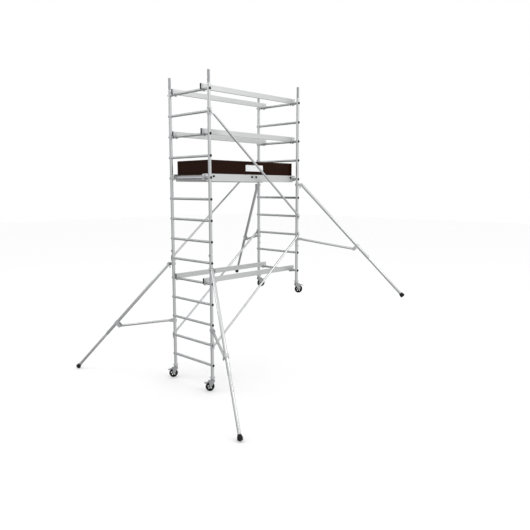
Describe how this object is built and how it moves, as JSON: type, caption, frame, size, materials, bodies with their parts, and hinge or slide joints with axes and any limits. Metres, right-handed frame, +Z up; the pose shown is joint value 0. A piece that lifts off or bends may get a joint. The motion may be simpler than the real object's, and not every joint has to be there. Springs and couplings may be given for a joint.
{
  "type": "mobile stairway scaffold tower",
  "caption": "Mobile aluminium scaffold tower for stairs: two unequal ladder frames on castors, braces, guard rails, hatch platform with toe boards, and outriggers.",
  "frame": {"origin": "on the lower floor, under the middle of the tower, midway between the four posts", "axes": "+Z up; +X along the tower, from the low end on the lower floor to the high end on the landing; +Y across it, from front to rear"},
  "size_m": [3.4116, 3.6684, 4.222],
  "materials": {
    "aluminium_tube": "satin mill-finish extruded tube",
    "ribbed_aluminium": "satin fluted extrusion",
    "aluminium_rail": "pale satin extruded rail",
    "spigot_aluminium": "drawn tube, slightly darker",
    "cast_aluminium": "sand-blasted pressure casting",
    "zinc_plated_steel": "bright zinc plate",
    "black_plastic": "moulded nylon",
    "black_rubber": "moulded rubber",
    "wheel_centre": "moulded nylon wheel centre",
    "film_faced_plywood": "dark brown phenolic film",
    "deck_plywood": "brown phenolic film, mesh pressed"
  },
  "bodies": {
    "tower": {"upper_uprights": "aluminium_tube", "lower_uprights": "aluminium_tube", "rungs_low_end": "ribbed_aluminium", "rungs_high_end": "ribbed_aluminium", "end_plugs": "black_plastic", "spigots": "spigot_aluminium", "spigot_locks": "zinc_plated_steel", "castor_stems": "zinc_plated_steel", "guard_rails": "aluminium_rail", "rail_claws": "cast_aluminium", "brace_tubes": "aluminium_tube", "brace_claws": "cast_aluminium", "platform_side_rails": "aluminium_rail", "platform_cross_rails": "aluminium_tube", "platform_bolts": "black_plastic", "platform_deck": "deck_plywood", "platform_hooks": "cast_aluminium", "hatch_hinge_bases": "zinc_plated_steel", "toe_boards": "film_faced_plywood", "toe_board_clips": "zinc_plated_steel"},
    "hatch": {"hatch_panel": "deck_plywood", "hatch_hinge_leaves": "zinc_plated_steel"},
    "front_wind_lock": {"wind_lock_front": "zinc_plated_steel"},
    "rear_wind_lock": {"wind_lock_rear": "zinc_plated_steel"},
    "castor_low_front": {"castor_low_front_fork": "zinc_plated_steel"},
    "castor_low_front_wheel": {"castor_low_front_rim": "wheel_centre", "castor_low_front_tyre": "black_rubber"},
    "castor_low_front_brake": {"castor_low_front_pedal": "zinc_plated_steel"},
    "outrigger_low_front": {"outrigger_low_front_tubes": "aluminium_tube", "outrigger_low_front_couplers": "zinc_plated_steel", "outrigger_low_front_lever": "black_plastic"},
    "outrigger_low_front_inner": {"outrigger_low_front_inner_leg": "aluminium_tube", "outrigger_low_front_foot": "black_rubber"},
    "castor_low_rear": {"castor_low_rear_fork": "zinc_plated_steel"},
    "castor_low_rear_wheel": {"castor_low_rear_rim": "wheel_centre", "castor_low_rear_tyre": "black_rubber"},
    "castor_low_rear_brake": {"castor_low_rear_pedal": "zinc_plated_steel"},
    "outrigger_low_rear": {"outrigger_low_rear_tubes": "aluminium_tube", "outrigger_low_rear_couplers": "zinc_plated_steel", "outrigger_low_rear_lever": "black_plastic"},
    "outrigger_low_rear_inner": {"outrigger_low_rear_inner_leg": "aluminium_tube", "outrigger_low_rear_foot": "black_rubber"},
    "castor_high_front": {"castor_high_front_fork": "zinc_plated_steel"},
    "castor_high_front_wheel": {"castor_high_front_rim": "wheel_centre", "castor_high_front_tyre": "black_rubber"},
    "castor_high_front_brake": {"castor_high_front_pedal": "black_plastic"},
    "outrigger_high_front": {"outrigger_high_front_tubes": "aluminium_tube", "outrigger_high_front_couplers": "zinc_plated_steel", "outrigger_high_front_lever": "black_plastic"},
    "outrigger_high_front_inner": {"outrigger_high_front_inner_leg": "aluminium_tube", "outrigger_high_front_foot": "black_rubber"},
    "castor_high_rear": {"castor_high_rear_fork": "zinc_plated_steel"},
    "castor_high_rear_wheel": {"castor_high_rear_rim": "wheel_centre", "castor_high_rear_tyre": "black_rubber"},
    "castor_high_rear_brake": {"castor_high_rear_pedal": "black_plastic"},
    "outrigger_high_rear": {"outrigger_high_rear_tubes": "aluminium_tube", "outrigger_high_rear_couplers": "zinc_plated_steel", "outrigger_high_rear_lever": "black_plastic"},
    "outrigger_high_rear_inner": {"outrigger_high_rear_inner_leg": "aluminium_tube", "outrigger_high_rear_foot": "black_rubber"}
  },
  "joints": [
    {"name": "hatch_hinge", "type": "hinge", "parent": "tower", "child": "hatch", "pos_m": [-0.38, 0.292, 2.9255], "axis": [-1, 0, 0], "range_deg": [0, 85]},
    {"name": "front_wind_lock_pivot", "type": "hinge", "parent": "tower", "child": "front_wind_lock", "pos_m": [-0.8385, -0.337, 2.882], "axis": [0, -1, 0], "range_deg": [0, 60]},
    {"name": "rear_wind_lock_pivot", "type": "hinge", "parent": "tower", "child": "rear_wind_lock", "pos_m": [0.8385, 0.337, 2.882], "axis": [0, 1, 0], "range_deg": [0, 60]},
    {"name": "castor_low_front_swivel", "type": "hinge", "parent": "tower", "child": "castor_low_front", "pos_m": [-0.8665, -0.41, 0.14], "axis": [0, 0, 1], "continuous": true},
    {"name": "castor_low_front_spin", "type": "hinge", "parent": "castor_low_front", "child": "castor_low_front_wheel", "pos_m": [-0.89913, -0.39479, 0.0625], "axis": [0.4226, 0.9063, 0], "continuous": true},
    {"name": "castor_low_front_brake_pedal", "type": "hinge", "parent": "castor_low_front", "child": "castor_low_front_brake", "pos_m": [-0.90638, -0.39141, 0.132], "axis": [-0.4226, -0.9063, 0], "range_deg": [0, 11]},
    {"name": "outrigger_low_front_swing", "type": "hinge", "parent": "tower", "child": "outrigger_low_front", "pos_m": [-0.8665, -0.41, 1.67], "axis": [0, 0, 1], "range_deg": [-40, 40]},
    {"name": "outrigger_low_front_extend", "type": "slide", "parent": "outrigger_low_front", "child": "outrigger_low_front_inner", "axis": [-0.3426, -0.5921, -0.7294], "range_m": [-0.3, 0.2]},
    {"name": "castor_low_rear_swivel", "type": "hinge", "parent": "tower", "child": "castor_low_rear", "pos_m": [-0.8665, 0.41, 0.14], "axis": [0, 0, 1], "continuous": true},
    {"name": "castor_low_rear_spin", "type": "hinge", "parent": "castor_low_rear", "child": "castor_low_rear_wheel", "pos_m": [-0.89913, 0.42521, 0.0625], "axis": [0.4226, 0.9063, 0], "continuous": true},
    {"name": "castor_low_rear_brake_pedal", "type": "hinge", "parent": "castor_low_rear", "child": "castor_low_rear_brake", "pos_m": [-0.90638, 0.4286, 0.132], "axis": [-0.4226, -0.9063, 0], "range_deg": [0, 11]},
    {"name": "outrigger_low_rear_swing", "type": "hinge", "parent": "tower", "child": "outrigger_low_rear", "pos_m": [-0.8665, 0.41, 1.67], "axis": [0, 0, 1], "range_deg": [-40, 40]},
    {"name": "outrigger_low_rear_extend", "type": "slide", "parent": "outrigger_low_rear", "child": "outrigger_low_rear_inner", "axis": [-0.3426, 0.5921, -0.7294], "range_m": [-0.3, 0.2]},
    {"name": "castor_high_front_swivel", "type": "hinge", "parent": "tower", "child": "castor_high_front", "pos_m": [0.8665, -0.41, 1.26], "axis": [0, 0, 1], "continuous": true},
    {"name": "castor_high_front_spin", "type": "hinge", "parent": "castor_high_front", "child": "castor_high_front_wheel", "pos_m": [0.89913, -0.42521, 1.1825], "axis": [0.4226, 0.9063, 0], "continuous": true},
    {"name": "castor_high_front_brake_pedal", "type": "hinge", "parent": "castor_high_front", "child": "castor_high_front_brake", "pos_m": [0.90638, -0.4286, 1.252], "axis": [0.4226, 0.9063, 0], "range_deg": [0, 11]},
    {"name": "outrigger_high_front_swing", "type": "hinge", "parent": "tower", "child": "outrigger_high_front", "pos_m": [0.8665, -0.41, 2.79], "axis": [0, 0, 1], "range_deg": [-40, 40]},
    {"name": "outrigger_high_front_extend", "type": "slide", "parent": "outrigger_high_front", "child": "outrigger_high_front_inner", "axis": [0.3426, -0.5921, -0.7294], "range_m": [-0.3, 0.2]},
    {"name": "castor_high_rear_swivel", "type": "hinge", "parent": "tower", "child": "castor_high_rear", "pos_m": [0.8665, 0.41, 1.26], "axis": [0, 0, 1], "continuous": true},
    {"name": "castor_high_rear_spin", "type": "hinge", "parent": "castor_high_rear", "child": "castor_high_rear_wheel", "pos_m": [0.89913, 0.39479, 1.1825], "axis": [0.4226, 0.9063, 0], "continuous": true},
    {"name": "castor_high_rear_brake_pedal", "type": "hinge", "parent": "castor_high_rear", "child": "castor_high_rear_brake", "pos_m": [0.90638, 0.39141, 1.252], "axis": [0.4226, 0.9063, 0], "range_deg": [0, 11]},
    {"name": "outrigger_high_rear_swing", "type": "hinge", "parent": "tower", "child": "outrigger_high_rear", "pos_m": [0.8665, 0.41, 2.79], "axis": [0, 0, 1], "range_deg": [-40, 40]},
    {"name": "outrigger_high_rear_extend", "type": "slide", "parent": "outrigger_high_rear", "child": "outrigger_high_rear_inner", "axis": [0.3426, 0.5921, -0.7294], "range_m": [-0.3, 0.2]}
  ]
}
